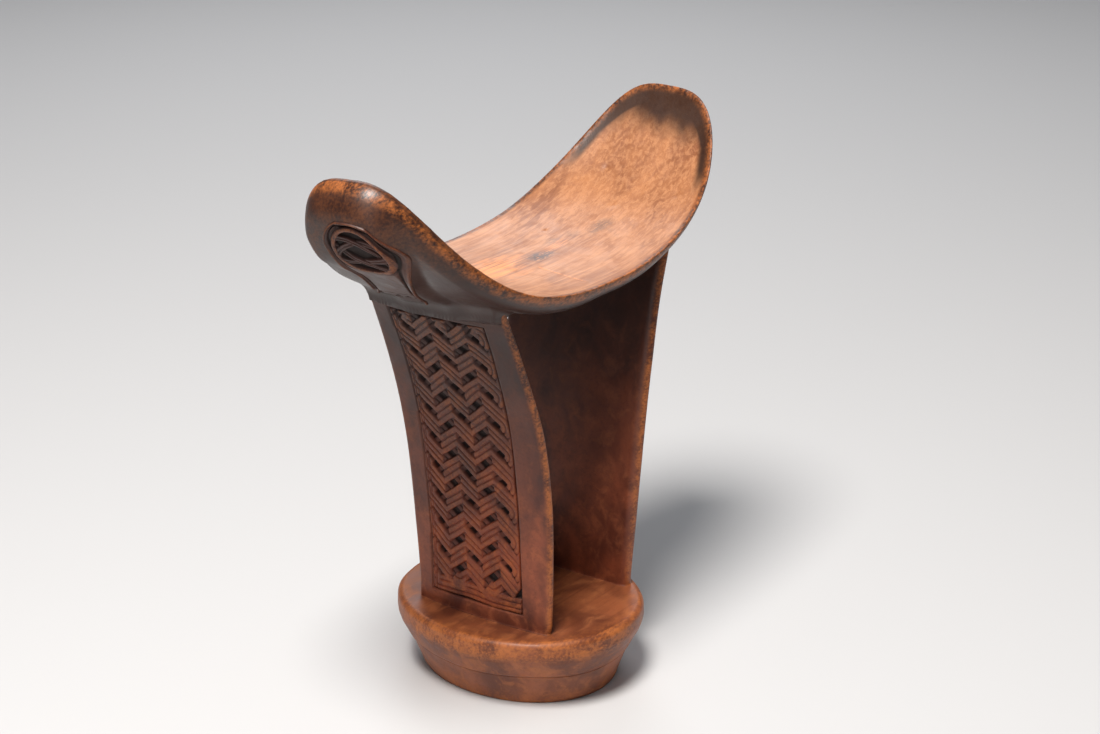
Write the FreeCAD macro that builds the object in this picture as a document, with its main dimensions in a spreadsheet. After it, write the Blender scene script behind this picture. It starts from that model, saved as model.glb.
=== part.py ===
"""Carved wooden headrest with a saddle cradle on two slab posts over an oval foot.

The real object is carved from one block. Each carved member is a solid of its own here,
cut where the carver's creases run, and neighbouring members meet face to face.
Millimetres, +Z up, origin on the ground under the middle of the headrest,
+X along the cradle's long axis.
"""
import FreeCAD, Part
import math
import os
import re

import Sketcher

App = FreeCAD
Vector = App.Vector

# alias, value, what it is
DIMENSIONS = [
    ("foot_height", 11.5, "ground to the crease under the base rim"),
    ("foot_half_x", 28.6, "foot outline on the ground, half along X"),
    ("foot_half_y", 34.2, "foot outline on the ground, half along Y"),
    ("foot_edge", 1.2, "worn rounding of the ground edge"),
    ("waist_half_x", 33.2, "outline at the crease, half along X"),
    ("waist_half_y", 38.0, "outline at the crease, half along Y"),
    ("band_height", 19.7, "ground to the lower edge of the rim band"),
    ("rim_half_x", 37.8, "widest outline of the base, half along X"),
    ("rim_half_y", 42.4, "widest outline of the base, half along Y"),
    ("base_height", 25.4, "ground to the top of the base"),
    ("rim_edge", 2.2, "rounding of the base's top edge"),
    ("base_shift", -0.1, "base centre along X"),
    ("post_thickness", 5.2, "slab thickness of a post"),
    ("post_left_foot", 23.3, "left post's outer face at its foot, from the origin"),
    ("post_right_foot", 27.6, "right post's outer face at its foot, from the origin"),
    ("post_bend_height", 48.0, "height where the posts begin to flare outward"),
    ("left_flare", 190.0, "radius of the left post's outward flare"),
    ("right_flare", 218.0, "radius of the right post's outward flare"),
    ("post_blank_top", 152.0, "top of a post before the cradle is fitted to it"),
    ("post_half_foot", 26.2, "half width of a post at its foot"),
    ("post_half_waist", 28.2, "half width of a post at mid height"),
    ("post_half_head", 24.9, "half width of a post under the cradle"),
    ("post_waist_height", 82.0, "height where a post is widest"),
    ("post_head_height", 138.0, "height where a post is narrowest"),
    ("post_edge", 1.4, "rounding of a post's inner long edges"),
    ("panel_low", 30.5, "lower edge of the plaited panel"),
    ("panel_high", 132.5, "upper edge of the plaited panel"),
    ("panel_width", 36.0, "width of the plaited panel"),
    ("panel_depth", 1.8, "depth of the recess that holds the plait"),
    ("cradle_half_length", 85.8, "half length of the cradle, up to the crest of each lip"),
    ("cradle_half_width", 33.3, "half width of the cradle"),
    ("cradle_roundness", 2.96, "exponent of the cradle's plan outline"),
    ("seat_height", 138.9, "height of the rim at mid length"),
    ("rise_left", 46.1, "rise of the left tip above the seat"),
    ("rise_right", 40.8, "rise of the right tip above the seat"),
    ("rise_quartic", 0.65, "share of the rise that grows with the fourth power"),
    ("dish_middle", 6.0, "cradle thickness at mid length"),
    ("dish_tip", 5.5, "cradle thickness at the tips"),
    ("keel_half_width", 15.5, "half width of the keel under each tip"),
    ("keel_edge", 3.0, "rounding of the keel's long edges"),
    ("keel_foot_x", 43.5, "where the keel leaves the post's outer face"),
    ("keel_foot_height", 134.7, "height of that place"),
    ("keel_bend_x", 83.5, "where a keel turns up, along X"),
    ("left_keel_bend_height", 160.0, "height where the left keel turns up"),
    ("right_keel_bend_height", 157.4, "height where the right keel turns up"),
    ("keel_bend_radius", 5.0, "radius of the turn"),
    ("keel_tip_x", 91.3, "where a keel runs out at the lip, along X"),
    ("left_keel_tip_height", 178.4, "height where the left keel runs out"),
    ("right_keel_tip_height", 174.0, "height where the right keel runs out"),
    ("medallion_half_y", 9.8, "oval medallion, half across"),
    ("medallion_half_slope", 8.6, "oval medallion, half along the keel"),
    ("medallion_share", 0.53, "medallion centre's place between a keel's turn and its run-out"),
    ("medallion_shift", -5.0, "left medallion's centre along Y; the right one is on the middle line"),
    ("medallion_depth", 1.5, "thickness of the medallion below the keel's surface"),
    ("medallion_proud", 0.5, "height of its border above the keel's surface"),
    ("medallion_border", 1.6, "width of its raised border"),
    ("knot_slope_share", 0.5, "a knot loop's length over the medallion's"),
    ("knot_width_share", 0.72, "a knot loop's width over the medallion's"),
]

doc = App.newDocument("headrest")
sheet = doc.addObject("Spreadsheet::Sheet", "Dimensions")
for row, (alias, value, meaning) in enumerate(DIMENSIONS, start=1):
    sheet.set(f"A{row}", meaning)
    sheet.set(f"B{row}", str(value))
    sheet.setAlias(f"B{row}", alias)
doc.recompute()


def dim(alias):
    """The value of a driving dimension."""
    return float(getattr(sheet, alias))


def cell(formula):
    """A formula over the aliases, written for setExpression."""
    names = "|".join(alias for alias, _, _ in DIMENSIONS)
    return re.sub(rf"\b({names})\b", r"<<Dimensions>>.\1", formula)


def new_body(name):
    body = doc.addObject("PartDesign::Body", name)
    body.Label = name
    return body


def origin_plane(body, role):
    for feature in body.Origin.OriginFeatures:
        if feature.Role == role:
            return feature
    raise ValueError(role)


def new_sketch(body, name, role):
    sketch = body.newObject("Sketcher::SketchObject", name)
    sketch.AttachmentSupport = [(origin_plane(body, role), "")]
    sketch.MapMode = "FlatFace"
    return sketch


def bind(sketch, kind, places, start, formula):
    """Add a dimensional constraint and drive it from the sheet."""
    index = sketch.addConstraint(Sketcher.Constraint(kind, *places, start))
    sketch.setExpression(f"Constraints[{index}]", cell(formula))


def join(sketch, *pairs):
    """Make pairs of edge ends coincide; an end is (edge, 1 start or 2 end or 3 centre)."""
    for first, second in pairs:
        sketch.addConstraint(Sketcher.Constraint("Coincident", *first, *second))


def place(sketch, point, across, up):
    """Drive a point's two coordinates from the sheet, measured from the sketch's origin."""
    for kind, (start, formula) in (("DistanceX", across), ("DistanceY", up)):
        if formula is not None:
            bind(sketch, kind, (-1, 1) + point, start, formula)


def symmetric_length(feature, formula):
    feature.Midplane = True
    feature.setExpression("Length", cell(formula))


# ---------------------------------------------------------------- base

def oval_sketch(body, name, half_x, half_y, height, inset=None):
    """An upright oval at a height, long along Y, with both half axes driven."""
    sketch = new_sketch(body, name, "XY_Plane")
    sketch.setExpression(".AttachmentOffset.Base.x", cell("base_shift * 1 mm"))
    if height:
        sketch.setExpression(".AttachmentOffset.Base.z", cell(f"({height}) * 1 mm"))
    short, long, less = dim(half_x), dim(half_y), ""
    if inset:
        short, long, less = short - dim(inset), long - dim(inset), " - 2 * " + inset
    sketch.addGeometry(Part.Ellipse(Vector(0, long, 0), Vector(short, 0, 0), Vector(0, 0, 0)))
    sketch.exposeInternalGeometry(0)
    sketch.addConstraint(Sketcher.Constraint("Coincident", 0, 3, -1, 1))
    sketch.addConstraint(Sketcher.Constraint("Vertical", 1))
    bind(sketch, "Distance", (1,), 2 * long, f"2 * {half_y}{less}")
    bind(sketch, "Distance", (2,), 2 * short, f"2 * {half_x}{less}")
    return sketch


def oval_loft(name, rings):
    """A body lofted in straight runs through ovals at rising heights."""
    body = new_body(name)
    sections = [oval_sketch(body, f"{name}_ring_{index}", *ring) for index, ring in enumerate(rings)]
    loft = body.newObject("PartDesign::AdditiveLoft", name + "_loft")
    loft.Profile = sections[0]
    loft.Sections = sections[1:]
    loft.Ruled = True
    doc.recompute()
    return body


def round_edges(body, feature, names, radius, suffix="_rounding"):
    """Round the named edges of a body's last feature."""
    fillet = body.newObject("PartDesign::Fillet", body.Name + suffix)
    fillet.Base = (feature, names)
    fillet.Radius = dim(radius)
    fillet.setExpression("Radius", cell(radius))
    doc.recompute()
    return fillet


foot = oval_loft("foot", [
    ("foot_half_x", "foot_half_y", None, "foot_edge"),
    ("foot_half_x", "foot_half_y", "foot_edge"),
    ("waist_half_x", "waist_half_y", "foot_height"),
])

base_rim = oval_loft("base_rim", [
    ("waist_half_x", "waist_half_y", "foot_height"),
    ("rim_half_x", "rim_half_y", "band_height"),
    ("rim_half_x", "rim_half_y", "base_height - rim_edge"),
    ("rim_half_x", "rim_half_y", "base_height", "rim_edge"),
])


# ---------------------------------------------------------------- posts

CUTTER_REACH = 12.0  # how far a cutter reaches outside the post's outer face
SIDE_STOCK = 60.0  # half size of the stock that the front outline trims away
SAME = 0.01  # two lengths nearer than this are the same
NEAR = 1.0  # an edge nearer than this to a limit belongs to it
SLAB_STOCK = 1.05  # width of an untrimmed slab over the post's own
POCKET_REACH = 4  # height of a medallion's pocket over the medallion's depth


def slab_sketch(body, name, flare_alias, low, high, depth, outer_face):
    """Side view of a slab that rises straight and then flares outward along arcs.

    The flare's centre lies beyond the slab's -X face. outer_face holds the slab's -X face on
    the post's outer face; otherwise the slab runs from there outward, as a cutter does.
    """
    sketch = new_sketch(body, name, "XZ_Plane")
    bend, flare, thick = dim("post_bend_height"), dim(flare_alias), dim(depth)
    bottom, top = dim(low), dim(high)
    if outer_face:
        near, far = 0.0, thick
    else:
        near, far = -CUTTER_REACH, thick
    outer_radius, inner_radius = flare + near, flare + far
    outer_turn = math.asin((top - bend) / outer_radius)
    inner_turn = math.asin((top - bend) / inner_radius)
    axis = Vector(-flare, bend, 0)

    def on_arc(radius, turn):
        return axis + Vector(radius * math.cos(turn), radius * math.sin(turn), 0)

    def arc(radius, turn):
        return Part.ArcOfCircle(Part.Circle(axis, Vector(0, 0, 1), radius), 0, turn)

    sketch.addGeometry([
        Part.LineSegment(Vector(near, bottom, 0), Vector(far, bottom, 0)),
        Part.LineSegment(Vector(far, bottom, 0), Vector(far, bend, 0)),
        arc(inner_radius, inner_turn),
        Part.LineSegment(on_arc(inner_radius, inner_turn), on_arc(outer_radius, outer_turn)),
        arc(outer_radius, outer_turn),
        Part.LineSegment(Vector(near, bend, 0), Vector(near, bottom, 0)),
    ])
    join(sketch, ((0, 2), (1, 1)), ((1, 2), (2, 1)), ((2, 2), (3, 1)),
         ((3, 2), (4, 2)), ((4, 1), (5, 1)), ((5, 2), (0, 1)), ((2, 3), (4, 3)))
    for kind, edge in (("Horizontal", 0), ("Vertical", 1), ("Horizontal", 3), ("Vertical", 5)):
        sketch.addConstraint(Sketcher.Constraint(kind, edge))
    place(sketch, (1, 1), (far, depth), (bottom, low))
    place(sketch, (1, 2), (None, None), (bend, "post_bend_height"))
    place(sketch, (5, 1), (None, None), (bend, "post_bend_height"))
    place(sketch, (3, 1), (None, None), (top, high))
    place(sketch, (4, 3), (-flare, "-" + flare_alias), (bend, "post_bend_height"))
    return sketch


def front_outline(body, name):
    """Everything outside a post's bowed front outline, as a frame-shaped region."""
    sketch = new_sketch(body, name, "YZ_Plane")
    low, head, top = dim("base_height"), dim("post_head_height"), dim("post_blank_top")
    at_foot, at_head, at_waist = dim("post_half_foot"), dim("post_half_head"), dim("post_half_waist")
    waist = dim("post_waist_height")
    for side in (1, -1):
        first = sketch.GeometryCount
        edge_start, edge_end = Vector(side * at_foot, low, 0), Vector(side * at_head, head, 0)
        out, below, above = side * SIDE_STOCK, low - SIDE_STOCK, top + SIDE_STOCK
        sketch.addGeometry([
            Part.Arc(edge_start, Vector(side * at_waist, waist, 0), edge_end),
            Part.LineSegment(edge_end, Vector(edge_end.x, above, 0)),
            Part.LineSegment(Vector(edge_end.x, above, 0), Vector(out, above, 0)),
            Part.LineSegment(Vector(out, above, 0), Vector(out, below, 0)),
            Part.LineSegment(Vector(out, below, 0), Vector(edge_start.x, below, 0)),
            Part.LineSegment(Vector(edge_start.x, below, 0), edge_start),
        ])
        point = sketch.addGeometry(Part.Point(Vector(side * at_waist, waist, 0)), True)
        low_end, high_end = (1, 2) if side > 0 else (2, 1)
        join(sketch, ((first, high_end), (first + 1, 1)), ((first + 1, 2), (first + 2, 1)),
             ((first + 2, 2), (first + 3, 1)), ((first + 3, 2), (first + 4, 1)),
             ((first + 4, 2), (first + 5, 1)), ((first + 5, 2), (first, low_end)))
        for kind, edge in (("Vertical", 1), ("Horizontal", 2), ("Vertical", 3),
                           ("Horizontal", 4), ("Vertical", 5)):
            sketch.addConstraint(Sketcher.Constraint(kind, first + edge))
        sketch.addConstraint(Sketcher.Constraint("PointOnObject", point, 1, first))
        sign = "" if side > 0 else "-"
        place(sketch, (first, low_end), (side * at_foot, sign + "post_half_foot"), (low, "base_height"))
        place(sketch, (first, high_end), (side * at_head, sign + "post_half_head"),
              (head, "post_head_height"))
        place(sketch, (point, 1), (side * at_waist, sign + "post_half_waist"),
              (waist, "post_waist_height"))
        sketch.addConstraint(Sketcher.Constraint("DistanceX", -1, 1, first + 3, 1, out))
        sketch.addConstraint(Sketcher.Constraint("DistanceY", -1, 1, first + 3, 1, above))
        sketch.addConstraint(Sketcher.Constraint("DistanceY", -1, 1, first + 3, 2, below))
    return sketch


def inner_long_edges(shape, flare):
    """Names of the long edges that bound a slab's inner face, on its +X side."""
    half = dim("post_half_head")
    names = []
    for number, edge in enumerate(shape.Edges, start=1):
        box = edge.BoundBox
        tall = box.ZLength > dim("post_thickness")
        at_side = min(abs(box.YMin), abs(box.YMax)) > half - NEAR
        if tall and at_side and lies_on_inner_face(edge, flare):
            names.append(f"Edge{number}")
    return names


def lies_on_inner_face(edge, flare):
    """True where an edge lies on the slab's inner face, by its distance from the flare's axis."""
    point = edge.valueAt((edge.FirstParameter + edge.LastParameter) / 2)
    bend = dim("post_bend_height")
    if point.z < bend:
        return abs(point.x - dim("post_thickness")) < SAME
    distance = math.hypot(point.x + flare, point.z - bend)
    return abs(distance - flare - dim("post_thickness")) < SAME


def post_blank(name, flare):
    """A slab post before the cradle is fitted: its body, and the plate its panel recess held."""
    body = new_body(name)
    pad = body.newObject("PartDesign::Pad", body.Name + "_slab")
    pad.Profile = slab_sketch(body, name + "_side", flare, "base_height", "post_blank_top",
                              "post_thickness", True)
    symmetric_length(pad, f"2 * post_half_waist * {SLAB_STOCK} mm")
    doc.recompute()
    trim = body.newObject("PartDesign::Pocket", body.Name + "_outline")
    trim.Profile = front_outline(body, name + "_front")
    symmetric_length(trim, "2 * post_blank_top * 1 mm")
    doc.recompute()
    rounded = round_edges(body, trim, inner_long_edges(trim.Shape, dim(flare)), "post_edge")
    recess = body.newObject("PartDesign::Pocket", body.Name + "_recess")
    recess.Profile = slab_sketch(body, name + "_panel", flare, "panel_low", "panel_high",
                                 "panel_depth", False)
    symmetric_length(recess, "panel_width * 1 mm")
    doc.recompute()
    return body, rounded.Shape.cut(recess.Shape)


PLAIT_COLUMNS = 5  # crossings across the panel
PLAIT_ROWS = 10  # crossings up the panel
PIT_SHARE = 0.36  # a pit's size as a share of the spacing of the crossings


def pit(center_y, center_z, half_y, half_z):
    """A lozenge pit through the plait, between four straps."""
    corners = [Vector(0, half_y, 0), Vector(0, 0, half_z), Vector(0, -half_y, 0), Vector(0, 0, -half_z)]
    reach = Vector(-dim("post_blank_top"), center_y, center_z)
    outline = Part.makePolygon([reach + corner for corner in corners + corners[:1]])
    return Part.Face(outline).extrude(Vector(2 * dim("post_blank_top"), 0, 0))


def plait(plate):
    """The plate of the recess with the pits between its diagonal straps cut through."""
    column_step = dim("panel_width") / PLAIT_COLUMNS
    row_step = (dim("panel_high") - dim("panel_low")) / PLAIT_ROWS
    pits = []
    for column in range(1, PLAIT_COLUMNS):
        offset = 0.5 * (column % 2)
        y = column * column_step - dim("panel_width") / 2
        for row in range(1, PLAIT_ROWS + 1):
            z = dim("panel_low") + (row - offset) * row_step
            if z < dim("panel_high") - row_step / 2:
                pits.append(pit(y, z, PIT_SHARE * column_step, PIT_SHARE * row_step))
    return plate.cut(pits)


def shape_feature(name, shape, placement=None):
    feature = doc.addObject("Part::Feature", name)
    feature.Label = name
    feature.Shape = shape
    if placement is not None:
        feature.Placement = placement
    return feature


# ---------------------------------------------------------------- cradle

STATIONS = 16  # spans of a cradle curve, tip to tip
OUTLINE_STEPS = 36  # points round the rim's plan outline


def seat_line(x):
    """Height and slope of the cradle's upper surface at x."""
    rise = dim("rise_left") if x < 0 else dim("rise_right")
    quartic, half = dim("rise_quartic"), dim("cradle_half_length")
    s = abs(x) / half
    height = dim("seat_height") + rise * ((1 - quartic) * s ** 2 + quartic * s ** 4)
    slope = math.copysign(rise / half * (2 * (1 - quartic) * s + 4 * quartic * s ** 3), x)
    return height, slope


def under_line(x):
    """The point of the cradle's underside square below its upper surface at x."""
    height, slope = seat_line(x)
    s = abs(x) / dim("cradle_half_length")
    thickness = dim("dish_middle") + (dim("dish_tip") - dim("dish_middle")) * s
    turn = math.atan(slope)
    return Vector(x + thickness * math.sin(turn), 0, height - thickness * math.cos(turn))


def spline(points):
    curve = Part.BSplineCurve()
    curve.interpolate(points)
    return curve.toShape()


def across(edges):
    """A solid from a closed side outline, wider than the headrest along Y."""
    face = Part.Face(Part.Wire(Part.__sortEdges__(edges)))
    half = 2 * dim("cradle_half_width")
    face.translate(Vector(0, -half, 0))
    return face.extrude(Vector(0, 2 * half, 0))


def plan_outline():
    """The cradle's rim seen from above, a rounded oblong, as a tall solid."""
    power = 2 / dim("cradle_roundness")
    points = []
    for step in range(OUTLINE_STEPS):
        turn = 2 * math.pi * (step + 0.5) / OUTLINE_STEPS
        c, s = math.cos(turn), math.sin(turn)
        x = math.copysign(abs(c) ** power, c) * dim("cradle_half_length")
        y = math.copysign(abs(s) ** power, s) * dim("cradle_half_width")
        points.append(Vector(x, y, 0))
    curve = Part.BSplineCurve()
    curve.interpolate(Points=points, PeriodicFlag=True)
    return Part.Face(Part.Wire(curve.toShape())).extrude(Vector(0, 0, 2 * dim("seat_height")))


def line(first, second):
    return Part.makeLine(first, second)


def cradle_shapes():
    """The cradle, all the space over its underside, and that space inside its rim."""
    reach = dim("cradle_half_length")
    stations = [reach * (2 * index / STATIONS - 1) for index in range(STATIONS + 1)]
    upper = [Vector(x, 0, seat_line(x)[0]) for x in stations]
    lower = [under_line(x) for x in stations]
    sky = 2 * dim("seat_height")
    high_left, high_right = Vector(lower[0].x, 0, sky), Vector(lower[-1].x, 0, sky)
    dish = across([spline(upper), line(upper[-1], lower[-1]), spline(lower), line(lower[0], upper[0])])
    space = across([spline(lower), line(lower[-1], high_right), line(high_right, high_left),
                    line(high_left, lower[0])])
    return dish.common(plan_outline()), space, space.common(plan_outline())


# ---------------------------------------------------------------- keels and medallions

def keel_line(side):
    """The turn and the run-out of a keel's lower edge, drawn on the -X end."""
    return (Vector(-dim("keel_bend_x"), 0, dim(side + "_keel_bend_height")),
            Vector(-dim("keel_tip_x"), 0, dim(side + "_keel_tip_height")))


def keel_blank(side):
    """The keel under a tip: up and outward in two straight runs with a turn between."""
    name = side + "_keel"
    body = new_body(name + "_blank")
    sketch = new_sketch(body, name + "_side", "XZ_Plane")
    foot_point = Vector(-dim("keel_foot_x"), dim("keel_foot_height"), 0)
    bend, tip = (Vector(point.x, point.z, 0) for point in keel_line(side))
    back = Vector(foot_point.x, tip.y, 0)
    sketch.addGeometry([Part.LineSegment(foot_point, bend), Part.LineSegment(bend, tip),
                        Part.LineSegment(tip, back), Part.LineSegment(back, foot_point)])
    join(sketch, ((0, 2), (1, 1)), ((1, 2), (2, 1)), ((2, 2), (3, 1)), ((3, 2), (0, 1)))
    sketch.addConstraint(Sketcher.Constraint("Horizontal", 2))
    sketch.addConstraint(Sketcher.Constraint("Vertical", 3))
    place(sketch, (0, 1), (foot_point.x, "-keel_foot_x"), (foot_point.y, "keel_foot_height"))
    place(sketch, (1, 1), (bend.x, "-keel_bend_x"), (bend.y, name + "_bend_height"))
    place(sketch, (2, 1), (tip.x, "-keel_tip_x"), (tip.y, name + "_tip_height"))
    pad = body.newObject("PartDesign::Pad", name + "_pad")
    pad.Profile = sketch
    symmetric_length(pad, "2 * keel_half_width * 1 mm")
    doc.recompute()
    turn = [f"Edge{number}" for number, edge in enumerate(pad.Shape.Edges, start=1)
            if edge.CenterOfMass.sub(Vector(bend.x, 0, bend.y)).Length < SAME]
    return body, round_edges(body, pad, turn, "keel_bend_radius")


def soften_keel(side, body, feature):
    """Round the keel's long lower edges, from its foot to its run-out."""
    names = []
    for number, edge in enumerate(feature.Shape.Edges, start=1):
        box, middle = edge.BoundBox, edge.CenterOfMass
        at_side = box.YLength < SAME
        under = (middle.z < keel_line(side)[1].z - NEAR
                 and middle.x < -dim("keel_foot_x") - NEAR)
        if at_side and under:
            names.append(f"Edge{number}")
    return round_edges(body, feature, names, "keel_edge", "_softening")


def medallion_frame(side, shift):
    """Place of a medallion on a -X keel: its own +Z points out of the keel's sloping face."""
    bend, tip = keel_line(side)
    center = bend + (tip - bend) * dim("medallion_share") + Vector(0, shift, 0)
    run = (tip - bend).normalize()
    outward = Vector(-run.z, 0, run.x)
    rotation = App.Rotation(run, Vector(0, 0, 0), outward, "ZXY")
    return App.Placement(center, rotation)


def oval_prism(name, along, across_axis, height, low, turn=0.0):
    """An oval prism in a medallion's plane, its half axes and height driven by the sheet."""
    shape = doc.addObject("Part::Ellipse", name + "_outline")
    long_axis, short_axis = (across_axis, along)
    shape.setExpression("MajorRadius", cell(long_axis))
    shape.setExpression("MinorRadius", cell(short_axis))
    shape.Placement = App.Placement(Vector(0, 0, low), App.Rotation(Vector(0, 0, 1), 90 + turn))
    prism = doc.addObject("Part::Extrusion", name)
    prism.Base = shape
    prism.DirMode = "Normal"
    prism.Solid = True
    prism.setExpression("LengthFwd", cell(height))
    return prism


def boolean(kind, name, base, tool):
    feature = doc.addObject(kind, name)
    feature.Base = base
    feature.Tool = tool
    return feature


def ring(name, along, across_axis, width, height, low, turn=0.0):
    """An oval ring, as wide as width, standing on a medallion's plate."""
    outer = oval_prism(name + "_outer", along, across_axis, height, low, turn)
    inner = oval_prism(name + "_inner", f"({along}) - {width}", f"({across_axis}) - {width}",
                       height, low, turn)
    return boolean("Part::Cut", name, outer, inner)


KNOT_TURN = 32.0  # lean of each of the knot's two loops, in degrees


def medallion(name):
    """An oval plate with a raised border and two interlaced loops inside it."""
    low = -dim("medallion_depth")
    plate = oval_prism(name + "_plate", "medallion_half_slope", "medallion_half_y",
                       "medallion_depth", low)
    total = "medallion_depth + medallion_proud"
    rings = [ring(name + "_border", "medallion_half_slope", "medallion_half_y",
                  "medallion_border", total, low)]
    for label, turn in (("first", KNOT_TURN), ("second", -KNOT_TURN)):
        rings.append(ring(f"{name}_{label}_loop", "medallion_half_slope * knot_slope_share",
                          "medallion_half_y * knot_width_share", "medallion_border",
                          total, low, turn))
    whole = doc.addObject("Part::MultiFuse", name)
    whole.Label = name
    whole.Shapes = [plate] + rings
    return whole


# ---------------------------------------------------------------- assembly

HALF_TURN = App.Rotation(Vector(0, 0, 1), 180)
LEFT = App.Placement(Vector(-dim("post_left_foot"), 0, 0), App.Rotation())
RIGHT = App.Placement(Vector(dim("post_right_foot"), 0, 0), HALF_TURN)

cradle_solid, cradle_space, rim_space = cradle_shapes()
cradle = shape_feature("head_cradle", cradle_solid)
space = shape_feature("space_over_the_underside", cradle_space)
inside_rim = shape_feature("space_inside_the_rim", rim_space)
nodes = [foot, base_rim, cradle]

SIDES = (("left", LEFT, App.Placement(), dim("medallion_shift")),
         ("right", RIGHT, App.Placement(Vector(), HALF_TURN), 0.0))
for side, post_place, end_place, medallion_shift in SIDES:
    blank, plate = post_blank(side + "_post_blank", side + "_flare")
    blank.Placement = post_place
    doc.recompute()
    post = boolean("Part::Cut", side + "_post", blank, space)
    panel = shape_feature(side + "_plait", plait(plate), post_place)

    keel_body, keel_pad = keel_blank(side)
    soften_keel(side, keel_body, keel_pad)
    keel_body.Placement = end_place
    pocket = oval_prism(side + "_medallion_pocket", "medallion_half_slope", "medallion_half_y",
                        f"medallion_depth * {POCKET_REACH}", -dim("medallion_depth"))
    oval = medallion(side + "_medallion")
    pocket.Placement = oval.Placement = end_place.multiply(medallion_frame(side, medallion_shift))
    under_cradle = boolean("Part::Cut", side + "_keel_under_cradle", keel_body, inside_rim)
    off_post = boolean("Part::Cut", side + "_keel_off_post", under_cradle, blank)
    keel = boolean("Part::Cut", side + "_keel", off_post, pocket)
    nodes += [post, panel, keel, oval]

doc.recompute()

# ---------------------------------------------------------------- checks and files

for item in doc.Objects:
    if "Invalid" in item.State or "Error" in item.State:
        raise RuntimeError(f"{item.Name} did not build: {item.State}")

os.makedirs("parts", exist_ok=True)
whole = App.BoundBox()
for node in nodes:
    shape = node.Shape
    if shape.isNull() or not shape.isValid() or not shape.Solids:
        raise RuntimeError(f"{node.Label} has no valid solid")
    whole.add(shape.BoundBox)
    shape.exportStep(f"parts/{node.Label}.step")
    box = shape.BoundBox
    print(f"{node.Label}: {len(shape.Solids)} solid(s), {shape.Volume:.0f} mm3, "
          f"x {box.XMin:.1f} {box.XMax:.1f}, y {box.YMin:.1f} {box.YMax:.1f}, "
          f"z {box.ZMin:.1f} {box.ZMax:.1f}")
print(f"whole: {whole}")
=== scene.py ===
"""The looks of a carved wooden headrest: an upswept cradle on two slab posts over an oval foot.

Every length is worked out in millimetres and turned into metres when a mesh is made. -X is the
left end, the camera stands at the left and in front (-X, -Y), and +Z is up.
"""
import math

import bpy
import numpy as np
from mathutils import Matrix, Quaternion, Vector


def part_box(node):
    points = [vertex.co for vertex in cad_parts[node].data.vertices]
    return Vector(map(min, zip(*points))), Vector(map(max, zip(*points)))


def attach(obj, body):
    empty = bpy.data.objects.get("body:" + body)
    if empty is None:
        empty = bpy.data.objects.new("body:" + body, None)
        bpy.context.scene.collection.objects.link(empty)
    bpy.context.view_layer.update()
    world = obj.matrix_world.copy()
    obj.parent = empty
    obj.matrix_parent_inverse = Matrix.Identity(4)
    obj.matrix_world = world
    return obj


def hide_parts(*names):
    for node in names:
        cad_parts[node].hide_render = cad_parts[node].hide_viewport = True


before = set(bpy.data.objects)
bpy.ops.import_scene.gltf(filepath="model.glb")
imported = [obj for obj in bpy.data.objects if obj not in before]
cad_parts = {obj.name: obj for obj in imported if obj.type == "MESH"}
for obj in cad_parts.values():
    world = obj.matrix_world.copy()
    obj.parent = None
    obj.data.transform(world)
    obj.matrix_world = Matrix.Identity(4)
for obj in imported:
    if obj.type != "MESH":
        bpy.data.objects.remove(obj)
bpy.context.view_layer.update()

MM = 0.001


def cad(node):
    """Lowest and highest corner of a CAD node, in millimetres."""
    low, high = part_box(node)
    return np.array(low) / MM, np.array(high) / MM


# ------------------------------------------------------------------ sizes, partly from the frame

CRADLE_LOW, CRADLE_HIGH = cad("head_cradle")
HALF_LENGTH = 85.4  # from mid length to the rim of a tip, whose underside reaches further out
HALF_WIDTH = (CRADLE_HIGH[1] - CRADLE_LOW[1]) / 2 - 0.1
FOOT_TOP = cad("foot")[1][2]
BASE_TOP = cad("base_rim")[1][2]
BASE_HALF_Y = cad("base_rim")[1][1] - 0.5
PANEL_LOW = cad("left_plait")[0][2]
PANEL_HIGH = cad("left_plait")[1][2]
POST_FOOT = {-1: 21.9, 1: 26.2}  # outer faces of the left and right posts on the base, along X

ROUNDNESS_LEFT = 2.88  # exponent of the cradle's plan outline at this end
ROUNDNESS_RIGHT = 3.04
LEFT_LEAN = 2.8  # how far the left end's near corner stands up over its middle
LEFT_BEND = -1.3  # how far the left end's tip is carved towards the near side
LEFT_SWELL = 3.8  # how far the left end's thick lip stands proud on the seat's side
SEAT_RIM = 138.9  # height of the rim at mid length
RISE_LEFT = 45.8  # from there up to this end's tip
RISE_RIGHT = 40.6
QUARTIC_LEFT = 0.62  # share of the rise that grows with the fourth power
QUARTIC_RIGHT = 0.65


# ------------------------------------------------------------------ small mathematics

def smooth(t):
    """0 below 0, 1 above 1, and a soft step between."""
    t = np.clip(t, 0.0, 1.0)
    return t * t * (3 - 2 * t)


def along(x, stations, values):
    """A soft curve through values at rising stations."""
    x = np.clip(np.asarray(x, float), stations[0], stations[-1])
    i = np.clip(np.searchsorted(stations, x) - 1, 0, len(stations) - 2)
    s = np.asarray(stations, float)
    v = np.asarray(values, float)
    slope = np.gradient(v, s)
    span = s[i + 1] - s[i]
    t = (x - s[i]) / span
    a = v[i] * (1 + 2 * t) * (1 - t) ** 2 + v[i + 1] * t * t * (3 - 2 * t)
    return a + span * (slope[i] * t * (1 - t) ** 2 - slope[i + 1] * t * t * (1 - t))


def closing(distance, radius):
    """0 at an edge and 1 a radius inside it, along a quarter circle."""
    t = np.clip(distance / radius, 0.0, 1.0)
    return np.sqrt(1 - (1 - t) ** 2)


NOISE_SIZE = 32
NOISE = np.random.RandomState(7).rand(NOISE_SIZE, NOISE_SIZE, NOISE_SIZE) * 2 - 1


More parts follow.
